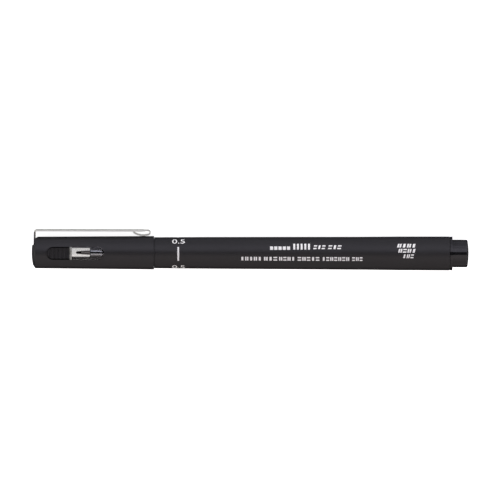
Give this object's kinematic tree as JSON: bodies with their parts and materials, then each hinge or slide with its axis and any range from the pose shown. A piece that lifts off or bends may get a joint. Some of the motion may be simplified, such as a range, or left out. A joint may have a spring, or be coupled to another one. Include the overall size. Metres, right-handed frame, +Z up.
{
  "type": "technical pen",
  "caption": "Capped fineliner technical pen for drafting: matte black tapered barrel, windowed cap with ribbed pads, a clear inner cap and a sprung steel pocket clip.",
  "frame": {"origin": "centre of the footprint of the pen's bounding box, on the surface it lies on", "axes": "+X along the pen from tail to crown, +Z up; the pen lies on its barrel and on the edge of its clip, with the clip towards -Y and down"},
  "size_m": [0.139, 0.0126, 0.0108],
  "materials": {
    "cap_black": "fine satin moulding texture, black",
    "clear_liner": "clear moulded plastic",
    "clip_steel": "satin stainless spring strip",
    "barrel_black": "fine satin moulding texture, black, with white printed marks",
    "section_black": "satin black",
    "holder_metal": "turned metal, polished",
    "sleeve_steel": "drawn steel tube, dull",
    "nib_fibre": "fibre point stained with black ink",
    "wick_fibre": "bundled fibre soaked with ink",
    "reservoir_fibre": "fibre roll soaked with ink",
    "film": "thin clear film",
    "plug_black": "polished black moulding"
  },
  "bodies": {
    "pen": {"barrel": "barrel_black", "front_section": "section_black", "nib_holder": "holder_metal", "nib_sleeve": "sleeve_steel", "nib_point": "nib_fibre", "relay_wick": "wick_fibre", "ink_reservoir": "reservoir_fibre", "reservoir_film": "film", "tail_plug": "plug_black"},
    "cap": {"cap_shell": "cap_black", "cap_crown": "cap_black", "inner_cap": "clear_liner", "clip_root": "clip_steel"},
    "clip": {"clip_arm": "clip_steel"}
  },
  "joints": [
    {"name": "cap_pull", "type": "slide", "parent": "pen", "child": "cap", "axis": [1, 0, 0], "range_m": [0, 0.045]},
    {"name": "clip_flex", "type": "hinge", "parent": "cap", "child": "clip", "pos_m": [0.0687, -0.00276, 0.00307], "axis": [0, -0.5416, 0.8406], "range_deg": [0, 4], "stiffness_Nm_per_rad": 0.6}
  ]
}
